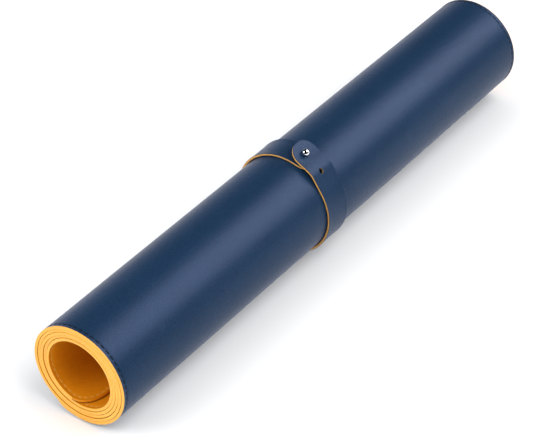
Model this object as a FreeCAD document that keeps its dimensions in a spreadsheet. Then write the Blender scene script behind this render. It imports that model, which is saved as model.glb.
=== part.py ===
import FreeCAD, Part
import math
import os
from FreeCAD import Placement, Rotation, Vector

# A leather-look mat, rolled up into a tube and held by a strap with a ball stud.
#
# Frame: X runs along the roll, +Z is up, and the origin is under the middle of the
# roll, on the surface that it lies on. Lengths are millimetres and angles degrees.
# An angle is measured about X from +Y towards +Z, so 90 is the top of the roll and
# 270 is its underside. The near end of the roll is at -X.

SIZES = {
    # the mat: a sheet of three bonded layers, rolled up across its long side
    "roll_length": (432.0, "width of the sheet, which is the length of the roll"),
    "outer_radius": (34.5, "outer face of the last quarter turn"),
    "step_top": (0.62, "radius gained as the spiral passes the top"),
    "step_front": (0.5675, "radius gained as it passes the -Y side"),
    "step_bottom": (0.445, "radius gained as it passes the underside"),
    "step_back": (0.4925, "radius gained as it passes the +Y side"),
    "outer_end_angle": (320.0, "where the free end of the sheet lies"),
    "inner_end_angle": (248.0, "where the end inside the bore lies"),
    "whole_turns": (5.0, "whole turns between those two angles"),
    "skin_thickness": (0.4, "outer skin"),
    "backing_thickness": (0.6, "backing cloth between the skins"),
    "lining_thickness": (0.7, "inner skin"),
    "glue_line": (0.05, "film of glue between two layers"),
    "corner_radius": (17.0, "rounded corners of the sheet"),
    # the seam round the edge of the mat: one thread in each face
    "seam_inset": (2.7, "edge of the sheet to the middle of the seam"),
    "thread_width": (0.8, "seam thread, pulled flat into its groove"),
    "thread_depth": (0.25, "depth of the thread in its skin"),
    "thread_play": (0.05, "room round the thread in its groove"),
    # the strap
    "strap_width": (20.0, "width of the strap"),
    "strap_place": (-2.3, "middle of the strap along the roll"),
    "strap_clearance": (0.3, "gap between the mat and the strap"),
    "strap_lining_thickness": (0.7, "inner layer of the strap"),
    "strap_face_thickness": (0.75, "outer layer of the strap"),
    "press_depth": (0.5, "how far the strap is pressed flat where it lies"),
    "bend_radius": (8.0, "inner radius where the strap climbs over an edge"),
    "edge_margin": (2.5, "angle between an edge and the bend that clears it"),
    "hinge_angle": (147.0, "where the tongue bends when it is lifted"),
    "hinge_gap": (0.15, "angle between the strap and the tongue at the hinge"),
    "tongue_lift": (2.3, "tongue above the mat's side of the strap, at the stud"),
    "tongue_straight_angle": (112.0, "where the tongue stops following the roll"),
    "stud_to_tip": (9.2, "stud to the tip of the tongue"),
    "stud_to_spare_hole": (14.2, "stud to the second hole, along the tongue"),
    "spare_hole_radius": (1.9, "second hole, for a thinner roll"),
    "button_hole_radius": (2.0, "hole that buttons over the ball"),
    # the ball stud and the screw that holds it
    "stud_angle": (105.1, "where the stud stands"),
    "stud_offset": (-1.0, "stud and holes from the middle of the strap, along X"),
    "stud_to_end": (8.6, "stud to the lower end of the strap"),
    "ball_radius": (2.6, "ball"),
    "ball_height": (5.9, "centre of the ball above the mat's side of the strap"),
    "neck_radius": (1.5, "neck under the ball"),
    "flange_radius": (3.8, "flange that rests on the strap"),
    "flange_thickness": (0.4, "flange"),
    "head_radius": (3.9, "screw head, let into the strap's lining"),
    "head_thickness": (0.45, "screw head"),
    "slot_width": (0.8, "screwdriver slot"),
    "slot_depth": (0.2, "screwdriver slot"),
    "shank_radius": (1.1, "screw shank, in the ball stud's bore"),
    "shank_length": (4.8, "screw, from the face of its head to its end"),
    "shank_play": (0.05, "room round the shank in its bore"),
    "hole_play": (0.2, "room round the stud and its screw in the strap"),
}

doc = FreeCAD.newDocument("RolledMat")
sheet = doc.addObject("Spreadsheet::Sheet", "Sizes")
for row, (alias, (value, note)) in enumerate(SIZES.items(), start=1):
    sheet.set(f"A{row}", note)
    sheet.set(f"B{row}", str(value))
    sheet.setAlias(f"B{row}", alias)
doc.recompute()


def size(alias):
    """A driving dimension, read from the sheet."""
    return float(sheet.get(alias))


# ---------------------------------------------------------------- paths and sections
#
# Everything that is rolled or wrapped is a band: a path seen from the end of the roll,
# given a thickness and extruded along X. A path is a list of arcs (centre, radius,
# first angle, last angle) that all bend the same way, and a straight run joins two
# arcs that don't meet. An arc whose two angles are equal is only a point.

SAME_POINT = 1e-6  # two points closer than this are one
QUARTERS = 4  # arcs in a whole turn of the spiral


def direction(angle):
    """The unit vector at this angle about X."""
    turn = math.radians(angle)
    return Vector(0, math.cos(turn), math.sin(turn))


def arc_point(arc, angle, offset):
    centre, radius = arc[0], arc[1]
    return centre + direction(angle) * (radius + offset)


def path_edges(path, offset):
    """The edges of a path, moved outwards by an offset."""
    edges = []
    last = None
    for arc in path:
        first_angle, last_angle = arc[2], arc[3]
        start = arc_point(arc, first_angle, offset)
        end = arc_point(arc, last_angle, offset)
        if last is not None and last.distanceToPoint(start) > SAME_POINT:
            edges.append(Part.LineSegment(last, start).toShape())
        if start.distanceToPoint(end) > SAME_POINT:
            middle = arc_point(arc, (first_angle + last_angle) / 2, offset)
            edges.append(Part.Arc(start, middle, end).toShape())
        last = end
    return edges


def band_face(path, low, high):
    """The section of a band between two offsets of its path."""
    inside = path_edges(path, low)
    outside = path_edges(path, high)
    joins = []
    for arc, angle in ((path[0], path[0][2]), (path[-1], path[-1][3])):
        ends = arc_point(arc, angle, low), arc_point(arc, angle, high)
        joins.append(Part.LineSegment(*ends).toShape())
    wire = Part.Wire(Part.__sortEdges__(inside + outside + joins))
    return Part.Face(wire)


def part_of(path, first, last):
    """The part of a path between two running angles; the path's arcs must be in order."""
    cut = []
    for centre, radius, start, end in path:
        start, end = max(start, first), min(end, last)
        if start < end:
            cut.append((centre, radius, start, end))
    return cut


def climb(low_centre, low_radius, high_centre, high_radius, angle, bend):
    """How a band rises from one circle to a larger one: straight, then a tight bend.

    The bend meets the larger circle at the angle. Gives the bend's centre and the
    angle at which the straight run leaves the smaller circle, in the climbing sense
    of falling angles.
    """
    bend_centre = high_centre + direction(angle) * (high_radius - bend)
    between = bend_centre - low_centre
    spread = math.acos((low_radius - bend) / between.Length)
    bearing = math.atan2(between.z, between.y)
    normals = [math.degrees(bearing + side * spread) for side in (1, -1)]
    ahead = [(normal - angle) % 360 for normal in normals]
    return bend_centre, angle + min(ahead)


# ---------------------------------------------------------------- the mat's spiral

sheet_thickness = (
    size("skin_thickness")
    + size("backing_thickness")
    + size("lining_thickness")
    + 2 * size("glue_line")
)
strap_thickness = (
    size("strap_lining_thickness") + size("glue_line") + size("strap_face_thickness")
)
# the strap lies under the roll, pressed a little flat
roll_axis = Vector(
    0,
    size("step_front") + size("step_top") / 2,
    size("outer_radius") + size("strap_clearance") + strap_thickness - size("press_depth"),
)


def spiral():
    """The outer face of the sheet, as quarter turns from its inner to its outer end.

    Angles run on from turn to turn. At each quarter the centre steps away from the
    sheet, so the turns lie closer together at the top than at the underside.
    """
    steps = {
        0: size("step_back"),
        90: size("step_top"),
        180: size("step_front"),
        270: size("step_bottom"),
    }
    outer_end = size("outer_end_angle")
    inner_end = size("inner_end_angle") - 360 * size("whole_turns")
    centre = roll_axis
    radius = size("outer_radius")
    quarters = []
    end = outer_end
    while end > inner_end:
        start = max(90 * math.floor((end - SAME_POINT) / 90), inner_end)
        quarters.append((centre, radius, start, end))
        step = steps[round(start) % 360] if start > inner_end else 0
        centre = centre + direction(start) * step
        radius = radius - step
        end = start
    return quarters[::-1]


mat_path = spiral()
first_angle = mat_path[0][2]
final_angle = mat_path[-1][3]
inner_end_radius = mat_path[0][1]
outer_end_radius = mat_path[-1][1]


def arc_angle(length, radius):
    """The angle that a length along a circle takes up."""
    return math.degrees(length / radius)


middle_of_sheet = -sheet_thickness / 2
sheet_run = sum(edge.Length for edge in path_edges(mat_path, middle_of_sheet))
print(f"the mat is {sheet_run:.0f} x {size('roll_length'):.0f} mm flat")


# ---------------------------------------------------------------- building blocks


def section(name, path, low, high):
    """A band's section, as an object to extrude."""
    face = doc.addObject("Part::Feature", name + "_section")
    face.Shape = band_face(path, low, high)
    return face


def band(name, path, low, high, length, place=None):
    """A band along X, centred on a place; the length and place are expressions."""
    solid = doc.addObject("Part::Extrusion", name)
    solid.Base = section(name, path, low, high)
    solid.DirMode = "Custom"
    solid.Dir = Vector(1, 0, 0)
    solid.Solid = True
    solid.Symmetric = True
    solid.setExpression("LengthFwd", length)
    if place:
        solid.setExpression("Placement.Base.x", place)
    return solid


def fused(name, shapes):
    whole = doc.addObject("Part::MultiFuse", name)
    whole.Shapes = shapes
    return whole


def cut(name, base, tools):
    """A solid less one tool or a list of tools."""
    rest = doc.addObject("Part::Cut", name)
    rest.Base = base
    if isinstance(tools, list):
        together = doc.addObject("Part::Compound", name + "_cuts")
        together.Links = tools
        tools = together
    rest.Tool = tools
    return rest


def cylinder(name, radius, height, placement):
    """A cylinder centred on its placement, with its axis along the placement's Z."""
    solid = doc.addObject("Part::Cylinder", name)
    solid.setExpression("Radius", radius)
    solid.Height = height
    half_down = Placement(Vector(0, 0, -height / 2), Rotation())
    solid.Placement = placement * half_down
    return solid


def facing(angle, point):
    """A placement at a point whose Z axis points outwards at this angle."""
    return Placement(point, Rotation(Vector(1, 0, 0), angle - 90))


# ---------------------------------------------------------------- the mat

TOOL_REACH = 12.0  # tools that cut a hole or a corner reach this far
TOOL_PLAY = 0.05  # they reach this far outside a layer that they cut through
TOOL_OVERRUN = 1.0  # and this far past the end or edge of the sheet
TANGENT_SKIP = 1.0  # how far past its tangent points a rounded corner is cut


def lengthened(path, at_start, at_end):
    """A path made longer at its two ends, along its first and last arcs."""
    centre, radius, start, end = path[0]
    path = [(centre, radius, start - arc_angle(at_start, radius), end)] + path[1:]
    centre, radius, start, end = path[-1]
    return path[:-1] + [(centre, radius, start, end + arc_angle(at_end, radius))]


def corner_tool(name, at_outer_end, side):
    """What is cut away to round one corner of the sheet.

    The cut starts a little past the tangent points, so that it meets the edges at an angle.
    """
    radius = outer_end_radius if at_outer_end else inner_end_radius
    span = arc_angle(size("corner_radius"), radius)
    start = arc_angle(size("corner_radius") - TANGENT_SKIP, radius)
    if at_outer_end:
        round_angle = final_angle - span
        arcs = part_of(mat_path, final_angle - start, final_angle)
        arcs = lengthened(arcs, 0, TOOL_OVERRUN)
    else:
        round_angle = first_angle + span
        arcs = part_of(mat_path, first_angle, first_angle + start)
        arcs = lengthened(arcs, TOOL_OVERRUN, 0)
    block = band(
        name + "_block", arcs, -sheet_thickness - TOOL_PLAY, TOOL_PLAY,
        f"Sizes.corner_radius - {TANGENT_SKIP} + {TOOL_OVERRUN}",
        f"{side} * (Sizes.roll_length - Sizes.corner_radius + {TANGENT_SKIP}"
        f" + {TOOL_OVERRUN}) / 2",
    )
    arc = next(a for a in mat_path if a[2] <= round_angle <= a[3])
    point = arc_point(arc, round_angle, middle_of_sheet)
    point.x = side * (size("roll_length") / 2 - size("corner_radius"))
    end_angle = final_angle if at_outer_end else first_angle
    round_part = cylinder(
        name + "_round", "Sizes.corner_radius", 2 * TOOL_REACH,
        facing((round_angle + end_angle) / 2, point),
    )
    return cut(name, block, round_part)


def seam_runs():
    """The four runs of the seam round the sheet: name, path, length and place along X."""
    inset = size("seam_inset")
    half_width = size("thread_width") / 2
    outer_corner = arc_angle(size("corner_radius"), outer_end_radius)
    inner_corner = arc_angle(size("corner_radius"), inner_end_radius)
    along_edge = part_of(mat_path, first_angle + inner_corner, final_angle - outer_corner)
    runs = []
    for name, side in (("near_edge", -1), ("far_edge", 1)):
        place = f"{side} * (Sizes.roll_length / 2 - Sizes.seam_inset)"
        runs.append((name, along_edge, "Sizes.thread_width", place))
    for name, middle, radius in (
        ("free_end", final_angle - arc_angle(inset, outer_end_radius), outer_end_radius),
        ("bore_end", first_angle + arc_angle(inset, inner_end_radius), inner_end_radius),
    ):
        half = arc_angle(half_width, radius)
        across = part_of(mat_path, middle - half, middle + half)
        runs.append((name, across, "Sizes.roll_length - 2 * Sizes.corner_radius", None))
    return runs


def thread_offsets(face, play=0.0):
    """Where a thread or its groove lies, measured from the outer face of the sheet."""
    depth = size("thread_depth") + play
    if face == "outer":
        return -depth, 0.0
    return -sheet_thickness, -sheet_thickness + depth


def seam_threads():
    """The seam thread in each face, in four straight runs."""
    for face in ("outer", "inner"):
        low, high = thread_offsets(face)
        for run, path, length, place in seam_runs():
            thread = band(f"{face}_seam_{run}", path, low, high, length, place)
            thread.Label = f"{face}_seam_{run}"


def seam_grooves(face):
    """The grooves that the threads of one face lie in."""
    play = size("thread_play")
    low, high = thread_offsets(face, play)
    # the groove is open to its own side of the sheet
    low, high = (low, high + TOOL_PLAY) if face == "outer" else (low - TOOL_PLAY, high)
    grooves = []
    for run, path, length, place in seam_runs():
        path = lengthened(path, play, play)
        length = f"{length} + 2 * Sizes.thread_play"
        grooves.append(band(f"{face}_{run}_groove", path, low, high, length, place))
    return grooves


def mat_layers():
    """The three layers of the sheet, with rounded corners, and grooves in the skins."""
    corners = [
        corner_tool(f"{end}_{edge}_corner", end == "outer", side)
        for end in ("outer", "inner")
        for edge, side in (("near", -1), ("far", 1))
    ]
    skin_low = -size("skin_thickness")
    backing_high = skin_low - size("glue_line")
    backing_low = backing_high - size("backing_thickness")
    lining_high = backing_low - size("glue_line")
    layers = (
        ("mat_outer_skin", skin_low, 0.0, seam_grooves("outer")),
        ("mat_backing", backing_low, backing_high, []),
        ("mat_inner_skin", -sheet_thickness, lining_high, seam_grooves("inner")),
    )
    for name, low, high, grooves in layers:
        whole = band(name + "_sheet", mat_path, low, high, "Sizes.roll_length")
        layer = cut(name, whole, corners + grooves)
        layer.Label = name


# ---------------------------------------------------------------- the strap


def strap_circle(angle):
    """The circle that the inside of the strap follows over the mat at this angle."""
    running = angle if angle <= final_angle else angle - 360
    arc = next(a for a in mat_path[::-1] if a[2] <= running <= a[3])
    return arc[0], arc[1] + size("strap_clearance")


def circle_arcs(first, last):
    """The strap's path over the mat between two angles of the last turn."""
    arcs = part_of(mat_path[-1 - QUARTERS:], first, last)
    return [(c, r + size("strap_clearance"), a, b) for c, r, a, b in arcs]


stud_centre, stud_base_radius = strap_circle(size("stud_angle"))
lower_end_angle = size("stud_angle") + arc_angle(size("stud_to_end"), stud_base_radius)


def strap_path():
    """The strap, from the hinge of the tongue round the roll to its lower end.

    It goes under the roll, is bent over the free end of the mat and comes up behind.
    """
    top_angle = final_angle + size("edge_margin")
    low_centre, low_radius = mat_path[-1 - QUARTERS][:2]
    low_radius += size("strap_clearance")
    high_centre, high_radius = strap_circle(final_angle)
    bend = size("bend_radius")
    bend_centre, leave = climb(
        low_centre, low_radius, high_centre, high_radius, top_angle, bend
    )
    up_the_back = circle_arcs(leave - 360, lower_end_angle)
    under = circle_arcs(size("hinge_angle"), final_angle)
    centre, radius, start, _ = under[-1]
    under[-1] = (centre, radius, start, top_angle)
    over_edge = (bend_centre, bend, top_angle, leave)
    up_the_back = [(c, r, a + 360, b + 360) for c, r, a, b in up_the_back]
    return under + [over_edge] + up_the_back


def tongue_path():
    """The tongue, from its hinge over the lower end of the strap to its tip."""
    low_centre, low_radius = strap_circle(size("stud_angle"))
    high_radius = low_radius + size("tongue_lift")
    join = lower_end_angle + size("edge_margin")
    bend = size("bend_radius")
    bend_centre, leave = climb(
        low_centre, low_radius, low_centre, high_radius, join, bend
    )
    straight = size("tongue_straight_angle")
    stud_run = high_radius * math.tan(math.radians(straight - size("stud_angle")))
    along = direction(straight - 90)
    tip_centre = low_centre + along * (stud_run + size("stud_to_tip"))
    return [
        (tip_centre, high_radius, straight, straight),
        (low_centre, high_radius, straight, join),
        (bend_centre, bend, join, leave),
        (low_centre, low_radius, leave, size("hinge_angle") - size("hinge_gap")),
    ]


def strap_middle_place():
    """The middle of the strap's width beside the stud: on the mat's side, Z outwards."""
    point = stud_centre + direction(size("stud_angle")) * stud_base_radius
    point.x = size("strap_place")
    return facing(size("stud_angle"), point)


def stud_place():
    """Where the stud stands, a little to one side of the strap's middle."""
    return strap_middle_place() * Placement(Vector(size("stud_offset"), 0, 0), Rotation())


def end_tool(name, reach, towards_tip):
    """What is cut away to round an end of the strap to half its width."""
    radius = size("strap_width") / 2
    block = doc.addObject("Part::Box", name + "_block")
    block.Length = 2 * TOOL_REACH
    block.Width = TOOL_REACH
    block.Height = 2 * TOOL_REACH
    middle = reach - radius
    start = middle if towards_tip else -middle - TOOL_REACH
    block.Placement = strap_middle_place() * Placement(
        Vector(-TOOL_REACH, start, -TOOL_REACH), Rotation()
    )
    side = middle if towards_tip else -middle
    round_part = cylinder(
        name + "_round", "Sizes.strap_width / 2", 4 * TOOL_REACH,
        strap_middle_place() * Placement(Vector(0, side, 0), Rotation()),
    )
    return cut(name, block, round_part)


def spare_hole():
    """The tool for the second hole, in the straight run of the tongue."""
    _, over_end, bend, on_mat = tongue_path()
    straight = size("tongue_straight_angle")
    to_bend = over_end[1] * math.radians(over_end[3] - straight)
    to_bend += over_end[1] * math.tan(math.radians(straight - size("stud_angle")))
    round_bend = bend[1] * math.radians(bend[3] - bend[2])
    rest = size("stud_to_spare_hole") - to_bend - round_bend
    point = arc_point(bend, bend[3], 0) + direction(bend[3] + 90) * rest
    point.x = size("strap_place") + size("stud_offset")
    return cylinder(
        "spare_hole", "Sizes.spare_hole_radius", TOOL_REACH, facing(bend[3], point)
    )


def foot_tool():
    """The floor, which presses the underside of the strap flat."""
    floor = doc.addObject("Part::Box", "floor")
    floor.Length = 2 * TOOL_REACH + size("strap_width")
    floor.Width = 2 * size("outer_radius")
    floor.Height = TOOL_REACH
    floor.Placement = Placement(
        Vector(size("strap_place") - floor.Length.Value / 2, -floor.Width.Value / 2,
               -TOOL_REACH),
        Rotation(),
    )
    return floor


def strap_layers():
    """The two layers of the strap and of its tongue."""
    lining_high = size("strap_lining_thickness")
    face_low = lining_high + size("glue_line")
    place = "Sizes.strap_place"
    width = "Sizes.strap_width"
    lower_end = end_tool("lower_end_cut", size("stud_to_end"), False)
    tip = end_tool("tip_cut", size("stud_to_tip"), True)
    head_hole = cylinder(
        "head_hole", "Sizes.head_radius + Sizes.hole_play", TOOL_REACH, stud_place()
    )
    shank_hole = cylinder(
        "shank_hole", "Sizes.shank_radius + Sizes.hole_play", TOOL_REACH, stud_place()
    )
    button_hole = cylinder(
        "button_hole", "Sizes.button_hole_radius", 2 * TOOL_REACH, stud_place()
    )
    spare = spare_hole()
    pieces = (
        ("strap_lining", strap_path(), 0.0, lining_high, [lower_end, head_hole]),
        ("strap_face", strap_path(), face_low, strap_thickness,
         [lower_end, shank_hole, foot_tool()]),
        ("tongue_lining", tongue_path(), 0.0, lining_high, [tip, button_hole, spare]),
        ("tongue_face", tongue_path(), face_low, strap_thickness,
         [tip, button_hole, spare]),
    )
    for name, path, low, high, tools in pieces:
        whole = band(name + "_band", path, low, high, width, place)
        layer = cut(name, whole, tools)
        layer.Label = name


# ---------------------------------------------------------------- the stud


def stud_piece(kind, name, height, radius, thickness=None):
    """A sphere or a cylinder on the stud's axis, this far above its foot."""
    solid = doc.addObject(kind, name)
    solid.setExpression("Radius", radius)
    if thickness:
        solid.setExpression("Height", thickness)
    solid.Placement = stud_place() * Placement(Vector(0, 0, height), Rotation())
    return solid


def ball_stud():
    """The ball, its neck and the flange that rests on the strap, bored for the screw."""
    whole = fused("stud_solid", [
        stud_piece("Part::Sphere", "ball", size("ball_height"), "Sizes.ball_radius"),
        stud_piece("Part::Cylinder", "neck", strap_thickness, "Sizes.neck_radius",
                   "Sizes.ball_height - Sizes.strap_face_thickness"
                   " - Sizes.strap_lining_thickness"),
        stud_piece("Part::Cylinder", "flange", strap_thickness, "Sizes.flange_radius",
                   "Sizes.flange_thickness"),
    ])
    bore = stud_piece(
        "Part::Cylinder", "stud_bore", size("head_thickness"),
        "Sizes.shank_radius + Sizes.shank_play",
        "Sizes.shank_length + 2 * Sizes.shank_play",
    )
    stud = cut("ball_stud", whole, bore)
    stud.Label = "ball_stud"


def stud_screw():
    """The screw that comes up through the strap into the stud."""
    whole = fused("screw_solid", [
        stud_piece("Part::Cylinder", "screw_head", 0, "Sizes.head_radius",
                   "Sizes.head_thickness"),
        stud_piece("Part::Cylinder", "screw_shank", 0, "Sizes.shank_radius",
                   "Sizes.head_thickness + Sizes.shank_length"),
    ])
    slot = doc.addObject("Part::Box", "screw_slot")
    slot.setExpression("Length", "Sizes.slot_width")
    slot.setExpression("Width", "4 * Sizes.head_radius")
    slot.setExpression("Height", "2 * Sizes.slot_depth")
    corner = Vector(-size("slot_width") / 2, -2 * size("head_radius"), -size("slot_depth"))
    slot.Placement = stud_place() * Placement(corner, Rotation())
    screw = cut("stud_screw", whole, slot)
    screw.Label = "stud_screw"


# ---------------------------------------------------------------- making and exporting


def recompute_and_check():
    """Recomputes the document and stops if any object failed."""
    doc.recompute()
    failed = [
        item.Label for item in doc.Objects
        if "Invalid" in item.State or "Error" in item.State
    ]
    if failed:
        raise RuntimeError(f"these objects failed: {failed}")


def export(names):
    """Writes each sub-part to its own STEP file."""
    os.makedirs("parts", exist_ok=True)
    for name in names:
        shape = doc.getObjectsByLabel(name)[0].Shape
        if shape.isNull() or not shape.isValid():
            raise RuntimeError(f"{name} has no valid shape")
        shape.exportStep(os.path.join("parts", name + ".step"))
        box = shape.BoundBox
        print(f"{name}: {len(shape.Solids)} solid, {shape.Volume:.0f} mm3, "
              f"x {box.XMin:.1f} to {box.XMax:.1f}, y {box.YMin:.1f} to {box.YMax:.1f}, "
              f"z {box.ZMin:.2f} to {box.ZMax:.1f}")


mat_layers()
seam_threads()
strap_layers()
ball_stud()
stud_screw()
recompute_and_check()

SEAM_RUNS = ("near_edge", "far_edge", "free_end", "bore_end")
NODES = ["mat_outer_skin", "mat_backing", "mat_inner_skin"]
NODES += [f"{face}_seam_{run}" for face in ("outer", "inner") for run in SEAM_RUNS]
NODES += ["strap_face", "strap_lining", "tongue_face", "tongue_lining"]
NODES += ["ball_stud", "stud_screw"]
export(NODES)

hinge_circle, hinge_radius = strap_circle(size("hinge_angle"))
hinge = hinge_circle + direction(size("hinge_angle")) * (hinge_radius + strap_thickness)
print(f"tongue hinge at y {hinge.y:.3f}, z {hinge.z:.3f}")
print(f"roll axis at y {roll_axis.y:.3f}, z {roll_axis.z:.3f}")
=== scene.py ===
import math

import bmesh
import bpy
import numpy as np
from mathutils import Matrix, Vector


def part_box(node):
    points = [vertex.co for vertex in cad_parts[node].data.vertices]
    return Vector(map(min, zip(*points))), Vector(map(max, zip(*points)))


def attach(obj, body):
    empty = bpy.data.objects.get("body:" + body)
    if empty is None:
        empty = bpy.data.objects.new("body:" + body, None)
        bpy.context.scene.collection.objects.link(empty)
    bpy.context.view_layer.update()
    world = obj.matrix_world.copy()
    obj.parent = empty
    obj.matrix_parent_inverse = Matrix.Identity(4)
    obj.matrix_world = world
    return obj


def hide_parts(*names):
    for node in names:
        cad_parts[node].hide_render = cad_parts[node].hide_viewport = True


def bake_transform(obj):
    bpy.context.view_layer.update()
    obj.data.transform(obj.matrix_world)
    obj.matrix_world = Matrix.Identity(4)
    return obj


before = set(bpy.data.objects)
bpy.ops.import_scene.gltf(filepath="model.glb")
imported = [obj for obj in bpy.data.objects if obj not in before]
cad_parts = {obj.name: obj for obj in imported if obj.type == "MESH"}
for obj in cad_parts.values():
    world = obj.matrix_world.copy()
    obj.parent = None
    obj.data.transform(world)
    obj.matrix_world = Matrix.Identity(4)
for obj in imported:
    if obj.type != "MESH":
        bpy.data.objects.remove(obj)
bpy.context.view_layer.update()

# A two-sided leather mat rolled up into a tube, held by a leather strap with a ball stud.
# Everything is in metres in the frame of the CAD model: X along the roll, +Z up. An
# angle is in degrees about X from +Y towards +Z, so 90 is the top of the roll.

MM = 0.001

# ---------------------------------------------------------------- sizes

# the mat's spiral, as in the CAD model: the radius that each quarter turn gains
OUTER_RADIUS = 34.5 * MM
STEPS = {0: 0.4925 * MM, 90: 0.62 * MM, 180: 0.5675 * MM, 270: 0.445 * MM}
OUTER_END_ANGLE = 320.0
INNER_END_ANGLE = 248.0 - 5 * 360.0
MAT_THICKNESS = 1.8 * MM
NAVY_THICKNESS = 0.4 * MM
GLUE_LINE = 0.03 * MM
MAT_CORNER = 17.0 * MM

# the seam round the mat
SEAM_INSET = 2.7 * MM
STITCH_PITCH = 4.0 * MM
GROOVE_DEPTH = 0.16 * MM
GROOVE_SPREAD = 0.45 * MM  # a quarter of the groove's width
HOLE_DEPTH = 0.10 * MM
THREAD_HALF_WIDTH = 0.50 * MM
THREAD_HALF_HEIGHT = 0.20 * MM

# the strap and its tongue
STRAP_CLEARANCE = 0.3 * MM
STRAP_THICKNESS = 1.5 * MM
STRAP_LINING = 0.72 * MM
STRAP_CORNER = 9.0 * MM
BEND_RADIUS = 8.0 * MM
EDGE_MARGIN = 2.5
HINGE_ANGLE = 147.0
STUD_ANGLE = 105.1
STUD_OFFSET = -1.0 * MM
STUD_TO_END = 8.6 * MM
STUD_TO_TIP = 9.2 * MM
STUD_TO_SPARE_HOLE = 14.2 * MM
TONGUE_LIFT = 2.3 * MM
TONGUE_STRAIGHT_ANGLE = 112.0
TIP_FLARE = 2.1 * MM
TIP_FLARE_REACH = 1.5 * STUD_TO_TIP
TIP_SKEW = 1.0 * MM
TIP_SKEW_REACH = 2.2 * STUD_TO_TIP
EDGE_CURL = 0.30 * MM
BUTTON_HOLE_RADIUS = 2.0 * MM
SPARE_HOLE_RADIUS = 1.9 * MM

mat_low, mat_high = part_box("mat_outer_skin")
strap_low, strap_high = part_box("strap_face")
ROLL_LENGTH = mat_high.x - mat_low.x
STRAP_PLACE = (strap_low.x + strap_high.x) / 2
STRAP_WIDTH = strap_high.x - strap_low.x
ROLL_AXIS = (mat_low.y + OUTER_RADIUS - STEPS[270], mat_low.z + OUTER_RADIUS)

# ---------------------------------------------------------------- paths
#
# A path is seen from the end of the roll: a list of arcs (centre, radius, first angle,
# last angle), with a straight run between two arcs that don't meet.

TRACE_STEP = 0.1 * MM


def direction(angle):
    """The unit vector (y, z) at this angle."""
    turn = math.radians(angle)
    return np.array([math.cos(turn), math.sin(turn)])


def spiral():
    """The outer face of the mat, as quarter turns from its inner to its outer end."""
    centre, radius, end = np.array(ROLL_AXIS), OUTER_RADIUS, OUTER_END_ANGLE
    quarters = []
    while end > INNER_END_ANGLE:
        start = max(90 * (math.ceil(end / 90) - 1), INNER_END_ANGLE)
        quarters.append((centre, radius, start, end))
        step = STEPS.get(start % 360, 0)
        centre, radius, end = centre + direction(start) * step, radius - step, start
    return quarters[::-1]


def trace(path, middle):
    """A path as close points: the length to each along its middle, the points, the normals."""
    points, normals = [], []
    for centre, radius, first, last in path:
        length = abs(math.radians(last - first)) * radius
        angles = np.radians(np.linspace(first, last, 2 + int(length / TRACE_STEP)))
        outward = np.stack([np.cos(angles), np.sin(angles)], 1)
        points.append(centre + outward * radius)
        normals.append(outward)
    points, normals = np.concatenate(points), np.concatenate(normals)
    gaps = np.linalg.norm(np.diff(points + normals * middle, axis=0), axis=1)
    return np.concatenate([[0], np.cumsum(gaps)]), points, normals


def wrapped(line, flat):
    """Flat points (along, across, above) laid on a traced line."""
    lengths, points, normals = line
    along, across, above = flat[:, 0], flat[:, 1], flat[:, 2]
    y, z, ny, nz = (
        np.interp(along, lengths, values[:, side])
        for values in (points, normals) for side in (0, 1)
    )
    size = np.maximum(np.hypot(ny, nz), 0.5)
    return np.stack([across, y + ny / size * above, z + nz / size * above], 1)


mat_path = spiral()
LAST_TURN = 5  # quarters in a little more than the last turn


def mat_arc(angle):
    """The last quarter turn that the mat makes at this angle."""
    running = angle if angle <= OUTER_END_ANGLE else angle - 360
    return next(arc for arc in mat_path[::-1] if arc[2] <= running <= arc[3])


def over_mat(first, last):
    """The strap's path over the last turn of the mat between two angles."""
    arcs = []
    for centre, radius, start, end in mat_path[-LAST_TURN:]:
        start, end = max(start, first), min(end, last)
        if start < end:
            arcs.append((centre, radius + STRAP_CLEARANCE, start, end))
    return arcs


def climb(low_centre, low_radius, high_centre, high_radius, angle):
    """A band's rise to a larger circle: the bend's centre, and where the rise begins."""
    bend_centre = high_centre + direction(angle) * (high_radius - BEND_RADIUS)
    between = bend_centre - low_centre
    spread = math.acos((low_radius - BEND_RADIUS) / np.linalg.norm(between))
    bearing = math.atan2(between[1], between[0])
    ahead = [(math.degrees(bearing + side * spread) - angle) % 360 for side in (1, -1)]
    return bend_centre, angle + min(ahead)


stud_centre, stud_radius = mat_arc(STUD_ANGLE)[:2]
stud_radius += STRAP_CLEARANCE
lower_end_angle = STUD_ANGLE + math.degrees(STUD_TO_END / stud_radius)


def strap_path():
    """From the hinge round under the roll, over the mat's free end, to the lower end."""
    top_angle = OUTER_END_ANGLE + EDGE_MARGIN
    low_centre, low_radius = mat_path[-LAST_TURN][:2]
    high_centre, high_radius = mat_arc(OUTER_END_ANGLE)[:2]
    bend_centre, leave = climb(
        low_centre, low_radius + STRAP_CLEARANCE, high_centre,
        high_radius + STRAP_CLEARANCE, top_angle,
    )
    under = over_mat(HINGE_ANGLE, OUTER_END_ANGLE)
    under[-1] = under[-1][:3] + (top_angle,)
    behind = [
        (centre, radius, start + 360, end + 360)
        for centre, radius, start, end in over_mat(leave - 360, lower_end_angle)
    ]
    return under + [(bend_centre, BEND_RADIUS, top_angle, leave)] + behind


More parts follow.
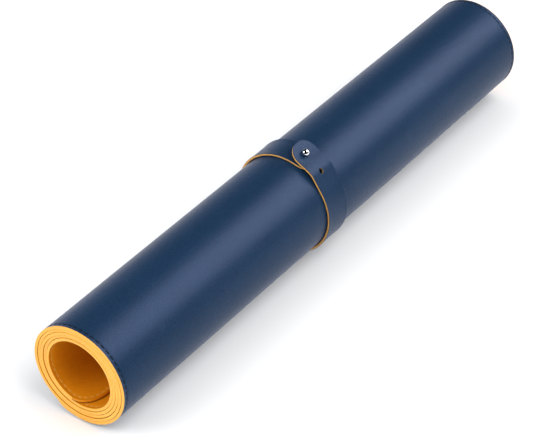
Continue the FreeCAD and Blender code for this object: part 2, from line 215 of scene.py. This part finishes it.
def tongue_path():
    """From the tip over the strap's lower end to the hinge."""
    high_radius = stud_radius + TONGUE_LIFT
    join = lower_end_angle + EDGE_MARGIN
    bend_centre, leave = climb(stud_centre, stud_radius, stud_centre, high_radius, join)
    straight = TONGUE_STRAIGHT_ANGLE
    stud_run = high_radius * math.tan(math.radians(straight - STUD_ANGLE))
    tip_centre = stud_centre + direction(straight - 90) * (stud_run + STUD_TO_TIP)
    return [
        (tip_centre, high_radius, straight, straight),
        (stud_centre, high_radius, straight, join),
        (bend_centre, BEND_RADIUS, join, leave),
        (stud_centre, stud_radius, leave, HINGE_ANGLE),
    ]


# ---------------------------------------------------------------- flat sheets
#
# A sheet is first made flat, in (along, across, above): a grid inside, and rings that
# follow the outline between the grid and the edge.


def outline(length, width, radius, long_steps, short_steps, corner_steps):
    """Points on the edge of a rounded rectangle and the outward direction at each."""
    points, outward = [], []
    for quarter in range(4):
        across_first = quarter % 2 == 0
        steps = short_steps if across_first else long_steps
        run = (width if across_first else length) - 2 * radius
        turn = math.radians(90 * quarter)
        out = np.array([-math.cos(turn), math.sin(turn)])
        ahead = np.array([math.sin(turn), math.cos(turn)])
        reach = (length if across_first else width) / 2
        start = out * reach - ahead * run / 2
        for step in range(steps):
            points.append(start + ahead * run * step / steps)
            outward.append(out)
        centre = out * (reach - radius) + ahead * run / 2
        for step in range(corner_steps):
            angle = math.radians(90 * step / corner_steps)
            normal = out * math.cos(angle) + ahead * math.sin(angle)
            points.append(centre + normal * radius)
            outward.append(normal)
    points = np.array(points) + [length / 2, 0]
    return points, np.array(outward)


def grid_places(length, width, radius, inset, counts, cells):
    """The grid's points inside the rings, column by column, and its edge's loop places.

    The loop lists a column and a row for each outline point, or None between two cells.
    """
    long_steps, short_steps, corner_steps = counts
    arc = np.radians(np.arange(corner_steps) * 90 / corner_steps)
    inner = radius - inset
    first = radius - inner * np.cos(arc)
    middle = radius + (length - 2 * radius) * np.arange(long_steps + 1) / long_steps
    columns = np.concatenate([first, middle, length - first[::-1]])
    half = np.full(len(columns), width / 2 - inset)
    half[:corner_steps] = width / 2 - radius + inner * np.sin(arc)
    half[-corner_steps:] = half[:corner_steps][::-1]
    share = np.linspace(-1, 1, cells + 1)
    last, fine = len(columns) - 1, short_steps // cells
    loop = []
    for step in range(short_steps):
        loop.append((0, step // fine) if step % fine == 0 else None)
    loop += [(column, cells) for column in range(last)]
    for step in range(short_steps):
        loop.append((last, cells - step // fine) if step % fine == 0 else None)
    loop += [(column, 0) for column in range(last, 0, -1)]
    places = np.stack([
        np.repeat(columns, cells + 1), (half[:, None] * share).ravel()
    ], 1)
    return places, loop


def sheet_mesh(size, counts, cells, rings):
    """A closed flat sheet: its points, faces, and a paint mark for each face.

    size is (length, width, corner radius). rings run from the grid of the upper face
    round the edge to the grid of the lower face: (inset, above, painted, dimple), where
    dimple deepens every second point. The first and last rings are the grids' edges.
    """
    length, width, radius = size
    edge, outward = outline(length, width, radius, *counts)
    flats, faces, paint = [], [], []
    around = len(edge)
    grids = []
    for inset, above in (rings[0][:2], rings[-1][:2]):
        places, loop = grid_places(length, width, radius, inset, counts, cells)
        base = sum(len(part) for part in flats)
        flats.append(np.column_stack([places, np.full(len(places), above)]))
        grids.append([None if p is None else base + p[0] * (cells + 1) + p[1] for p in loop])
        columns = len(places) // (cells + 1)
        for column in range(columns - 1):
            for row in range(cells):
                corner = base + column * (cells + 1) + row
                faces.append((corner, corner + 1, corner + cells + 2, corner + cells + 1))
                paint.append(False)
    loops = [grids[0]]
    odd = np.arange(around) % 2 == 0
    for inset, above, painted, dimple in rings[1:-1]:
        base = sum(len(part) for part in flats)
        heights = np.where(odd, above - dimple, above)
        flats.append(np.column_stack([edge - outward * inset, heights]))
        loops.append(list(range(base, base + around)))
    loops.append(grids[1])
    for number in range(len(loops) - 1):
        first, second = loops[number], loops[number + 1]
        painted = rings[number + 1][2]
        stops = [i for i in range(around) if first[i] is not None and second[i] is not None]
        for start, stop in zip(stops, stops[1:] + [stops[0] + around]):
            span = [i % around for i in range(start, stop + 1)]
            upper = [first[i] for i in span if first[i] is not None]
            lower = [second[i] for i in span if second[i] is not None]
            faces.append(tuple(upper + lower[::-1]))
            paint.append(painted)
    return np.concatenate(flats), faces, paint


def new_object(name, points, faces, materials, paint=None):
    """A smooth mesh object; paint is the place of each face's material in the list."""
    mesh = bpy.data.meshes.new(name)
    mesh.from_pydata([tuple(p) for p in points], [], faces)
    for material in materials:
        mesh.materials.append(material)
    if paint is not None:
        mesh.polygons.foreach_set("material_index", np.array(paint, dtype=np.int32))
    obj = bpy.data.objects.new(name, mesh)
    bpy.context.scene.collection.objects.link(obj)
    work = bmesh.new()
    work.from_mesh(mesh)
    bmesh.ops.recalc_face_normals(work, faces=work.faces)
    work.to_mesh(mesh)
    work.free()
    mesh.polygons.foreach_set("use_smooth", np.full(len(mesh.polygons), True))
    return obj


FLAT_MAP = "flat"


def keep_flat_places(obj):
    """Stores each corner's flat place, in metres, as the UV map that the materials use."""
    mesh = obj.data
    places = np.zeros(len(mesh.vertices) * 3, np.float32)
    mesh.vertices.foreach_get("co", places)
    corners = np.zeros(len(mesh.loops), np.int32)
    mesh.loops.foreach_get("vertex_index", corners)
    layer = mesh.uv_layers.new(name=FLAT_MAP)
    flat = places.reshape(-1, 3)[corners][:, :2]
    layer.data.foreach_set("uv", flat.ravel())


def move_points(obj, change):
    """Replaces an object's points by what change makes of them."""
    mesh = obj.data
    places = np.zeros(len(mesh.vertices) * 3, np.float64)
    mesh.vertices.foreach_get("co", places)
    moved = change(places.reshape(-1, 3))
    mesh.vertices.foreach_set("co", moved.ravel())
    mesh.update()


def sharp_edges(obj, degrees):
    """Smooth shading that breaks at edges sharper than this."""
    obj.data.set_sharp_from_angle(angle=math.radians(degrees))


# ---------------------------------------------------------------- materials


def node(tree, kind, **values):
    """A shader node; a value goes to the attribute or the input of that name."""
    made = tree.nodes.new(kind)
    for name, value in values.items():
        if name in made.inputs.keys():
            made.inputs[name].default_value = value
        else:
            setattr(made, name, value)
    return made


def new_material(name):
    """A material, its node tree and its shader."""
    material = bpy.data.materials.new(name)
    material.use_nodes = True
    tree = material.node_tree
    return material, tree, tree.nodes["Principled BSDF"]


def ramp(tree, source, stops):
    """A colour ramp from (position, colour) stops, fed by an output."""
    made = tree.nodes.new("ShaderNodeValToRGB")
    elements = made.color_ramp.elements
    while len(elements) < len(stops):
        elements.new(1.0)
    for element, (position, colour) in zip(elements, stops):
        element.position = position
        element.color = (*colour, 1.0)
    tree.links.new(source, made.inputs["Fac"])
    return made.outputs["Color"]


def feed(tree, socket, value):
    """Sets a socket to a number or a colour, or links an output to it."""
    if isinstance(value, tuple):
        socket.default_value = (*value, 1.0)
    elif isinstance(value, (int, float)):
        socket.default_value = value
    else:
        tree.links.new(value, socket)


def math_node(tree, operation, *values):
    """The result of an operation on numbers or outputs."""
    made = tree.nodes.new("ShaderNodeMath")
    made.operation = operation
    for socket, value in zip(made.inputs, values):
        feed(tree, socket, value)
    return made.outputs["Value"]


def mixed(tree, factor, first, second, blend="MIX"):
    """Two colours or outputs, blended by this factor."""
    made = tree.nodes.new("ShaderNodeMix")
    made.data_type = "RGBA"
    made.blend_type = blend
    sockets = (made.inputs["Factor"], made.inputs[6], made.inputs[7])
    for socket, value in zip(sockets, (factor, first, second)):
        feed(tree, socket, value)
    return made.outputs[2]


def flat_vector(tree, stretch=(1.0, 1.0)):
    """The flat place on the sheet, in metres, optionally stretched."""
    place = node(tree, "ShaderNodeUVMap", uv_map=FLAT_MAP)
    mapping = tree.nodes.new("ShaderNodeMapping")
    mapping.inputs["Scale"].default_value = (*stretch, 1.0)
    tree.links.new(place.outputs["UV"], mapping.inputs["Vector"])
    return mapping.outputs["Vector"]


def noise(tree, vector, size, detail=3.0, roughness=0.5):
    """Noise with features about this large, in metres."""
    made = node(tree, "ShaderNodeTexNoise", Scale=1 / size, Detail=detail, Roughness=roughness)
    tree.links.new(vector, made.inputs["Vector"])
    return made.outputs["Fac"]


def pebbles(tree, vector, size):
    """Leather cells about this large: high in the middle of each, low between them."""
    bent = node(tree, "ShaderNodeTexNoise", Scale=0.6 / size, Detail=2.0)
    tree.links.new(vector, bent.inputs["Vector"])
    shift = node(tree, "ShaderNodeVectorMath", operation="SCALE", Scale=0.7 * size)
    tree.links.new(bent.outputs["Color"], shift.inputs[0])
    moved = node(tree, "ShaderNodeVectorMath", operation="ADD")
    tree.links.new(vector, moved.inputs[0])
    tree.links.new(shift.outputs["Vector"], moved.inputs[1])
    cells = node(tree, "ShaderNodeTexVoronoi", feature="SMOOTH_F1", Scale=1 / size)
    cells.inputs["Smoothness"].default_value = 0.6
    tree.links.new(moved.outputs["Vector"], cells.inputs["Vector"])
    return math_node(tree, "SUBTRACT", 1.0, cells.outputs["Distance"])


def bump(tree, height, strength, distance):
    """The normal that this height gives."""
    made = node(tree, "ShaderNodeBump", Strength=strength, Distance=distance)
    tree.links.new(height, made.inputs["Height"])
    return made.outputs["Normal"]


def leather(name, dark, light, worn, roughness, shine, tint, sheen, grain, contrast):
    """Grained leather: two tones with worn spots, pebbles with darker valleys, wrinkles.

    grain is the pebbles' height beside the wrinkles', and contrast darkens the valleys.
    """
    material, tree, shader = new_material(name)
    vector = flat_vector(tree)
    cells = pebbles(tree, vector, 0.95 * MM)
    wrinkles = noise(tree, vector, 3.0 * MM, 6.0, 0.62)
    clouds = noise(tree, flat_vector(tree, (1.0, 0.5)), 34.0 * MM, 3.0)
    fine = noise(tree, vector, 0.25 * MM, 2.0)
    tone = ramp(tree, clouds, [(0.3, dark), (0.7, light)])
    valley = ramp(tree, cells, [(0.35, (0.72, 0.72, 0.74)), (0.75, (1.06, 1.06, 1.06))])
    shade = mixed(tree, contrast, tone, valley, "MULTIPLY")
    spots = ramp(tree, noise(tree, vector, 11.0 * MM, 5.0, 0.65), [
        (0.58, (0.0, 0.0, 0.0)), (0.80, (0.20, 0.20, 0.20)),
    ])
    tree.links.new(mixed(tree, spots, shade, worn), shader.inputs["Base Color"])
    uneven = 0.22  # how far the roughness varies in all
    dull = math_node(tree, "MULTIPLY_ADD", wrinkles, uneven, roughness - uneven / 2)
    tree.links.new(dull, shader.inputs["Roughness"])
    height = math_node(tree, "ADD", math_node(tree, "MULTIPLY", cells, grain), wrinkles)
    height = math_node(tree, "ADD", height, math_node(tree, "MULTIPLY", fine, 0.35))
    tree.links.new(bump(tree, height, 0.6, 0.07 * MM), shader.inputs["Normal"])
    shader.inputs["Specular IOR Level"].default_value = shine
    shader.inputs["Specular Tint"].default_value = (*tint, 1.0)
    shader.inputs["Sheen Weight"].default_value = sheen
    shader.inputs["Sheen Roughness"].default_value = 0.35
    shader.inputs["Sheen Tint"].default_value = (*tint, 1.0)
    return material


def edge_paint(name, dark, light):
    """A cut edge: paint in two tones, a little uneven."""
    material, tree, shader = new_material(name)
    place = tree.nodes.new("ShaderNodeTexCoord").outputs["Object"]
    uneven = noise(tree, place, 1.6 * MM, 4.0, 0.6)
    broad = noise(tree, place, 14.0 * MM, 2.0)
    tone = ramp(tree, broad, [(0.3, dark), (0.7, light)])
    pitted = ramp(tree, uneven, [(0.3, tuple(0.75 * part for part in dark)), (0.5, light)])
    tree.links.new(mixed(tree, 0.35, tone, pitted), shader.inputs["Base Color"])
    gloss = math_node(tree, "MULTIPLY_ADD", uneven, 0.2, 0.38)
    tree.links.new(gloss, shader.inputs["Roughness"])
    tree.links.new(bump(tree, uneven, 0.3, 0.08 * MM), shader.inputs["Normal"])
    return material


def thread(name, dark, light):
    """Twisted thread: slanted strands, fuzzy and dull."""
    material, tree, shader = new_material(name)
    vector = flat_vector(tree)
    strands = node(tree, "ShaderNodeTexWave", Scale=0.9 / MM, Distortion=1.2)
    strands.bands_direction = "DIAGONAL"
    tree.links.new(vector, strands.inputs["Vector"])
    fuzz = noise(tree, vector, 0.2 * MM, 4.0, 0.7)
    colour = ramp(tree, strands.outputs["Fac"], [(0.15, dark), (0.75, light)])
    tree.links.new(mixed(tree, fuzz, colour, dark), shader.inputs["Base Color"])
    height = math_node(tree, "ADD", strands.outputs["Fac"], fuzz)
    tree.links.new(bump(tree, height, 0.6, 0.08 * MM), shader.inputs["Normal"])
    shader.inputs["Roughness"].default_value = 0.85
    shader.inputs["Specular IOR Level"].default_value = 0.2
    return material


def polished_steel():
    """Chromed steel with faint haze and fine rubbing marks."""
    material, tree, shader = new_material("polished_steel")
    place = tree.nodes.new("ShaderNodeTexCoord").outputs["Object"]
    haze = noise(tree, place, 1.2 * MM, 5.0, 0.6)
    rubbed = noise(tree, place, 0.12 * MM, 2.0)
    tint = ramp(tree, haze, [(0.3, (0.70, 0.71, 0.73)), (0.7, (0.86, 0.87, 0.88))])
    tree.links.new(tint, shader.inputs["Base Color"])
    gloss = ramp(tree, haze, [(0.35, (0.05, 0.05, 0.05)), (0.75, (0.14, 0.14, 0.14))])
    tree.links.new(gloss, shader.inputs["Roughness"])
    tree.links.new(bump(tree, rubbed, 0.04, 0.02 * MM), shader.inputs["Normal"])
    shader.inputs["Metallic"].default_value = 1.0
    return material


NAVY = leather(
    "navy_leather", dark=(0.0070, 0.026, 0.061), light=(0.0090, 0.031, 0.072),
    worn=(0.030, 0.052, 0.100), roughness=0.37, shine=0.14, tint=(0.52, 0.58, 1.0),
    sheen=0.10, grain=1.6, contrast=0.7,
)
YELLOW = leather(
    "yellow_leather", dark=(0.66, 0.225, 0.003), light=(0.72, 0.260, 0.006),
    worn=(0.76, 0.340, 0.030), roughness=0.50, shine=0.30, tint=(1.0, 0.85, 0.6),
    sheen=0.0, grain=1.0, contrast=0.25,
)
EDGE = edge_paint("edge_paint", (0.86, 0.39, 0.038), (0.95, 0.46, 0.058))
# dark brown painted shade for the edge of the mat's inner end, which lies in shade inside the
# bore
PAINTED_SHADE_EDGE = edge_paint("painted_shade_edge", (0.19, 0.045, 0.006), (0.26, 0.070, 0.010))
STRAP_CORE = edge_paint("strap_core", (0.20, 0.15, 0.08), (0.27, 0.21, 0.12))
STRAP_EDGE = edge_paint("strap_edge_paint", (0.68, 0.34, 0.080), (0.80, 0.43, 0.115))
NAVY_THREAD = thread("navy_thread", (0.0012, 0.0018, 0.0045), (0.004, 0.007, 0.016))
YELLOW_THREAD = thread("yellow_thread", (0.60, 0.27, 0.035), (0.95, 0.56, 0.150))
STEEL = polished_steel()

# ---------------------------------------------------------------- the mat

mat_line = trace(mat_path, -MAT_THICKNESS / 2)
MAT_LENGTH = mat_line[0][-1]

CORNER_STEPS = 12  # two for each stitch round a corner
GRID_CELLS = 20  # cells of the grid across the mat
FINE_STEPS = 11  # points of the outline for each cell
GRID_INSET = 5.0 * MM
# the edge within this reach of the mat's inner end takes the skin's bore-end material: dark
# brown painted shade on the navy skin
BORE_END_REACH = 15.0 * MM
BORE_END_MARK = 2  # the place of its edge's material in a skin's list
TELESCOPING = 0.22 * MM
SAG = 0.05 * MM
WAVES = 0.035 * MM
long_steps = 2 * round((MAT_LENGTH - 2 * MAT_CORNER) / STITCH_PITCH)
mat_counts = (long_steps, GRID_CELLS * FINE_STEPS, CORNER_STEPS)
mat_size = (MAT_LENGTH, ROLL_LENGTH, MAT_CORNER)


def seam_rings(face, out):
    """The groove that the seam lies in, then the bead of paint along the edge.

    out is 1 on the upper face and -1 on the lower.
    """
    side = face - out * 0.4 * GROOVE_DEPTH
    bead = face + out * 0.07 * MM
    return [
        (GRID_INSET, face, False, 0),
        (SEAM_INSET + 2 * GROOVE_SPREAD, face, False, 0),
        (SEAM_INSET + GROOVE_SPREAD, side, False, 0),
        (SEAM_INSET, face - out * GROOVE_DEPTH, False, out * HOLE_DEPTH),
        (SEAM_INSET - GROOVE_SPREAD, side, False, 0),
        (SEAM_INSET - 2 * GROOVE_SPREAD, face, False, 0),
        (0.45 * MM, face, False, 0),
        (0.26 * MM, bead, False, 0),
        (0.08 * MM, bead, True, 0),
        (0.02 * MM, bead - out * 0.05 * MM, True, 0),
    ]


def mat_shape(flat):
    """Lays flat points on the spiral, a little unevenly, most of all near its two ends."""
    along, across, above = flat.T
    end = np.clip((np.abs(across) / (ROLL_LENGTH / 2) - 0.55) / 0.45, 0, 1)
    telescoped = TELESCOPING * np.sin(along / (52 * MM) + 0.8) * np.sign(across) * end ** 2
    sag = SAG * np.sin(across / (31 * MM)) * np.sin(along / (23 * MM) + 1.3)
    waves = WAVES * np.sin(across / (9 * MM) + along / (17 * MM)) * end
    places = np.column_stack([along, across + telescoped, above + sag + waves])
    return wrapped(mat_line, places)


def mat_piece(name, rings, material, bore_end, replaced):
    """One skin of the mat; bore_end is the material of its edge inside the bore, which on the
    navy skin is dark brown painted shade.
    """
    points, faces, paint = sheet_mesh(mat_size, mat_counts, GRID_CELLS, rings)
    marks = [int(mark) for mark in paint]
    for place, face in enumerate(faces):
        if paint[place] and all(points[corner][0] < BORE_END_REACH for corner in face):
            marks[place] = BORE_END_MARK
    obj = new_object(name, points, faces, [material, EDGE, bore_end], marks)
    keep_flat_places(obj)
    move_points(obj, mat_shape)
    sharp_edges(obj, 60)
    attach(obj, "roll")
    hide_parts(*replaced)
    return obj


navy_low = -NAVY_THICKNESS
navy_rings = seam_rings(0.0, 1) + [
    (0, -0.03 * MM, True, 0),
    (0, navy_low, True, 0),
    (GRID_INSET, navy_low, False, 0),
]
yellow_high = navy_low - GLUE_LINE
yellow_rings = seam_rings(-MAT_THICKNESS, -1) + [
    (0, -MAT_THICKNESS + 0.03 * MM, True, 0),
    (0, yellow_high, True, 0),
    (GRID_INSET, yellow_high, False, 0),
]
# the navy skin's edge inside the bore gets the dark brown painted shade
mat_piece("mat_navy_skin", navy_rings, NAVY, PAINTED_SHADE_EDGE, ["mat_outer_skin"])
mat_piece(
    "mat_yellow_skin", yellow_rings, YELLOW, YELLOW,
    ["mat_inner_skin", "mat_backing"],
)

# ---------------------------------------------------------------- the seam

# sections of a stitch from hole to hole: how far along, how far down, how thick
STITCH_SPANS = (0.07, 0.16, 0.34, 0.5, 0.66, 0.84, 0.93)
STITCH_DIPS = (1.0, 0.45, 0.08, 0.0, 0.08, 0.45, 1.0)
STITCH_GIRTHS = (0.45, 0.85, 1.0, 1.0, 1.0, 0.85, 0.45)
STITCH_SIDES = 8
STITCH_DIP = 0.26 * MM
STITCH_TOP = 0.05 * MM
STITCH_SLANT = 0.10


def seam(name, face, out, material):
    """Every stitch of the seam in one face of the mat, from hole to hole."""
    rng = np.random.default_rng(7)
    edge, outward = outline(*mat_size, *mat_counts)
    line = edge - outward * SEAM_INSET
    holes, middles = line[0::2], line[1::2]
    ahead = np.roll(holes, -1, axis=0) - holes
    ahead /= np.linalg.norm(ahead, axis=1)[:, None]
    aside = np.stack([-ahead[:, 1], ahead[:, 0]], 1)
    turns = np.arange(STITCH_SIDES) * 2 * math.pi / STITCH_SIDES
    count, rows = len(holes), len(STITCH_SPANS)
    slants = STITCH_SLANT + rng.normal(0, 0.02, count)
    flats = []
    for span, dip, girth in zip(STITCH_SPANS, STITCH_DIPS, STITCH_GIRTHS):
        start, end = (holes, middles) if span <= 0.5 else (middles, np.roll(holes, -1, axis=0))
        part = span * 2 if span <= 0.5 else span * 2 - 1
        centre = start * (1 - part) + end * part
        centre = centre + aside * ((span - 0.5) * STITCH_PITCH * slants)[:, None]
        height = face + out * (STITCH_TOP - THREAD_HALF_HEIGHT - dip * STITCH_DIP)
        for turn in turns:
            side = aside * THREAD_HALF_WIDTH * girth * math.cos(turn)
            lift = height + THREAD_HALF_HEIGHT * girth * math.sin(turn)
            flats.append(np.column_stack([centre + side, np.full(count, lift)]))
    points = np.stack(flats, 1).reshape(-1, 3)
    faces = []
    for stitch in range(count):
        base = stitch * rows * STITCH_SIDES
        for row in range(rows - 1):
            for side in range(STITCH_SIDES):
                here = base + row * STITCH_SIDES + side
                beside = base + row * STITCH_SIDES + (side + 1) % STITCH_SIDES
                faces.append((here, beside, beside + STITCH_SIDES, here + STITCH_SIDES))
        faces.append(tuple(range(base + STITCH_SIDES - 1, base - 1, -1)))
        top = base + (rows - 1) * STITCH_SIDES
        faces.append(tuple(range(top, top + STITCH_SIDES)))
    obj = new_object(name, points, faces, [material])
    keep_flat_places(obj)
    move_points(obj, mat_shape)
    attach(obj, "roll")
    side = name.split("_")[0]
    runs = ("near_edge", "far_edge", "free_end", "bore_end")
    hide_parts(*(f"{side}_seam_{run}" for run in runs))


seam("outer_seam", 0.0, 1, NAVY_THREAD)
seam("inner_seam", -MAT_THICKNESS, -1, YELLOW_THREAD)

# ---------------------------------------------------------------- the strap

strap_line = trace(strap_path(), STRAP_THICKNESS / 2)
tongue_line = trace(tongue_path(), STRAP_THICKNESS / 2)
STRAP_STEP = 1.5 * MM
STRAP_CELLS = 8
STRAP_CORNER_STEPS = 14
SPARE_LENGTH = 20 * MM  # made past the hinge, then cut off there
HOLE_SIDES = 32
FLOOR = 0.0
# the rounded rims of the strap's outer and inner layers, in mm: in from the edge, and
# in from the layer's face
FACE_RIM = ((0.55, 0), (0.20, 0.05), (0.04, 0.17), (0, 0.28))
LINING_RIM = ((0, 0.22), (0.06, 0.08), (0.25, 0))


def cut_at(obj, along, keep_below):
    """Cuts a flat piece square across and closes it."""
    work = bmesh.new()
    work.from_mesh(obj.data)
    everything = work.verts[:] + work.edges[:] + work.faces[:]
    normal = (1, 0, 0) if keep_below else (-1, 0, 0)
    made = bmesh.ops.bisect_plane(
        work, geom=everything, plane_co=(along, 0, 0), plane_no=normal, clear_outer=True,
        dist=1e-7,
    )
    edges = [e for e in made["geom_cut"] if isinstance(e, bmesh.types.BMEdge)]
    bmesh.ops.contextual_create(work, geom=edges)
    work.to_mesh(obj.data)
    work.free()


def punch(obj, outline_points, materials, wall):
    """Cuts a straight-sided hole, given as a flat outline; wall is its walls' material."""
    sides = len(outline_points)
    points = [
        (x, y, z) for z in (-STRAP_THICKNESS, 2 * STRAP_THICKNESS) for x, y in outline_points
    ]
    faces = [tuple(range(sides))[::-1], tuple(range(sides, 2 * sides))]
    for side in range(sides):
        after = (side + 1) % sides
        faces.append((side, after, after + sides, side + sides))
    tool = new_object("punch", points, faces, materials, [wall] * len(faces))
    change = obj.modifiers.new("hole", "BOOLEAN")
    change.operation = "DIFFERENCE"
    change.solver = "EXACT"
    change.object = tool
    graph = bpy.context.evaluated_depsgraph_get()
    punched = bpy.data.meshes.new_from_object(obj.evaluated_get(graph))
    obj.modifiers.clear()
    obj.data = punched
    bpy.data.objects.remove(tool)


def round_hole(along, radius):
    """The outline of a punched hole, this far along the strap."""
    angles = np.arange(HOLE_SIDES) * 2 * math.pi / HOLE_SIDES
    return [
        (along + radius * math.cos(a), STUD_OFFSET + radius * math.sin(a)) for a in angles
    ]


def strap_rings(low, high, is_face):
    """The section of one layer of the strap, with the rim that shows rounded."""
    inset = 1.2 * MM
    if is_face:
        rim = [(aside * MM, high - down * MM, False, 0) for aside, down in FACE_RIM]
        rim.append((0, low, True, 0))
    else:
        rim = [(aside * MM, low + up * MM, True, 0) for aside, up in LINING_RIM]
        rim.insert(0, (0, high, False, 0))
    return [(inset, high, False, 0)] + rim + [(inset, low, False, 0)]


def strap_layer(name, line, layer, end_first, holes, shape):
    """One layer of the strap or its tongue, flat first, then wrapped."""
    is_face = layer == "face"
    low, high = (STRAP_LINING + GLUE_LINE, STRAP_THICKNESS) if is_face else (0, STRAP_LINING)
    length = line[0][-1] + SPARE_LENGTH
    steps = round((length - 2 * STRAP_CORNER) / STRAP_STEP)
    counts = (steps, STRAP_CELLS, STRAP_CORNER_STEPS)
    size = (length, STRAP_WIDTH, STRAP_CORNER)
    points, faces, paint = sheet_mesh(size, counts, STRAP_CELLS, strap_rings(low, high, is_face))
    materials = [NAVY if is_face else YELLOW, STRAP_EDGE, STRAP_CORE]
    obj = new_object(name, points, faces, materials, paint)
    if end_first:
        move_points(obj, lambda flat: flat - [SPARE_LENGTH, 0, 0])
        cut_at(obj, 0.0, False)
    else:
        cut_at(obj, line[0][-1], True)
    for hole in holes:
        punch(obj, hole, materials, materials.index(STRAP_CORE))
    keep_flat_places(obj)
    move_points(obj, shape)
    sharp_edges(obj, 50)
    return obj


def curled(flat):
    """Flat points of the strap in its place, with its edges a little off the roll."""
    placed = flat + [0, STRAP_PLACE, 0]
    placed[:, 2] += EDGE_CURL * (2 * flat[:, 1] / STRAP_WIDTH) ** 4
    return placed


def strap_shape(flat):
    """Wraps the strap round the roll and presses it flat on what it lies on."""
    places = wrapped(strap_line, curled(flat))
    places[:, 2] = np.maximum(places[:, 2], FLOOR)
    return places


def tongue_shape(flat):
    """Wraps the tongue, with its tip lifted and drawn a little to one side."""
    lifting = np.clip(1 - flat[:, 0] / TIP_FLARE_REACH, 0, 1)
    turning = np.clip(1 - flat[:, 0] / TIP_SKEW_REACH, 0, 1)
    lifted = curled(flat)
    lifted[:, 1] += TIP_SKEW * turning ** 2
    lifted[:, 2] += TIP_FLARE * lifting ** 2
    return wrapped(tongue_line, lifted)


def strap():
    """The strap and its tongue, each in two layers; the holes are placed from the tip."""
    holes = [
        round_hole(STUD_TO_TIP, BUTTON_HOLE_RADIUS),
        round_hole(STUD_TO_TIP + STUD_TO_SPARE_HOLE, SPARE_HOLE_RADIUS),
    ]
    for layer in ("face", "lining"):
        ring = strap_layer(f"strap_{layer}_layer", strap_line, layer, True, [], strap_shape)
        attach(ring, "strap")
        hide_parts(f"strap_{layer}")
        tongue = strap_layer(
            f"tongue_{layer}_layer", tongue_line, layer, False, holes, tongue_shape
        )
        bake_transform(tongue)
        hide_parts(f"tongue_{layer}")


strap()

for name in ("ball_stud", "stud_screw"):
    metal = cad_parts[name]
    metal.data.materials.clear()
    metal.data.materials.append(STEEL)

# ---------------------------------------------------------------- floor, light, camera


def stage():
    """A plain pale floor."""
    material, tree, shader = new_material("pale_floor")
    place = tree.nodes.new("ShaderNodeTexCoord").outputs["Object"]
    tone = ramp(tree, noise(tree, place, 0.4, 2.0), [
        (0.3, (0.86, 0.86, 0.865)), (0.7, (0.89, 0.89, 0.895)),
    ])
    tree.links.new(tone, shader.inputs["Base Color"])
    shader.inputs["Roughness"].default_value = 0.75
    half = 3.0
    corners = [(-half, -half, 0), (half, -half, 0), (half, half, 0), (-half, half, 0)]
    floor = new_object("floor", corners, [(0, 1, 2, 3)], [material])


def area_light(name, towards, distance, width, height, power, seen_by="both", blue=0.0):
    """A rectangular light in this direction from the roll, facing it.

    seen_by limits it to "diffuse" or to "glossy" reflection; blue tints it.
    """
    data = bpy.data.lights.new(name, "AREA")
    data.shape = "RECTANGLE"
    data.size = width
    data.size_y = height
    data.energy = power
    data.color = (1 - blue, 1 - 0.7 * blue, 1.0)
    light = bpy.data.objects.new(name, data)
    outward = Vector(towards).normalized()
    light.location = outward * distance + Vector((0, 0, ROLL_AXIS[1]))
    light.rotation_euler = outward.to_track_quat("Z", "Y").to_euler()
    light.visible_glossy = seen_by != "diffuse"
    light.visible_diffuse = seen_by != "glossy"
    bpy.context.scene.collection.objects.link(light)


def lights():
    """Soft studio light: the white surroundings, which nothing mirrors, and four lamps.

    The key stands over the near end and the +Y side, and the backdrop low behind the +Y
    side. The strip gives the long highlight, and the fill lights the -Y side.
    """
    world = bpy.data.worlds.new("studio")
    world.use_nodes = True
    background = world.node_tree.nodes["Background"]
    background.inputs["Color"].default_value = (1.0, 1.0, 1.0, 1.0)
    background.inputs["Strength"].default_value = 0.72
    world.cycles_visibility.glossy = False
    bpy.context.scene.world = world
    area_light(
        "key", towards=(-0.70, 0.40, 0.62), distance=2.0, width=1.2, height=1.2, power=18,
    )
    area_light(
        "strip", towards=(0.59, -0.44, 0.68), distance=1.5, width=1.2, height=1.1, power=35,
        seen_by="glossy",
    )
    area_light(
        "fill", towards=(0.10, -0.66, 0.74), distance=2.0, width=2.2, height=2.2, power=38,
        seen_by="diffuse",
    )
    area_light(
        "backdrop", towards=(0.35, 1.0, 0.22), distance=2.2, width=3.0, height=0.9,
        power=7.5, blue=0.4,
    )


def camera():
    """The photograph's view: from the near end, above and to the -Y side."""
    azimuth, elevation = math.radians(-54.24), math.radians(37.61)
    back = Vector((
        math.sin(azimuth) * math.cos(elevation),
        -math.cos(azimuth) * math.cos(elevation),
        math.sin(elevation),
    ))
    right = Vector((math.cos(azimuth), math.sin(azimuth), 0))
    up = back.cross(right)
    target = Vector((0, ROLL_AXIS[0] - 0.84 * MM, ROLL_AXIS[1] - 0.35 * MM))
    data = bpy.data.cameras.new("camera")
    data.lens = 150.53
    data.sensor_width = 36.0
    view = bpy.data.objects.new("camera", data)
    away, aside, above = 1.4408, -0.01596, -0.01857
    place = target + back * away + right * aside + up * above
    turn = Matrix((right, up, back)).transposed().to_4x4()
    view.matrix_world = Matrix.Translation(place) @ turn
    bpy.context.scene.collection.objects.link(view)
    bpy.context.scene.camera = view


stage()
lights()
camera()
bpy.context.scene.view_settings.view_transform = "Standard"
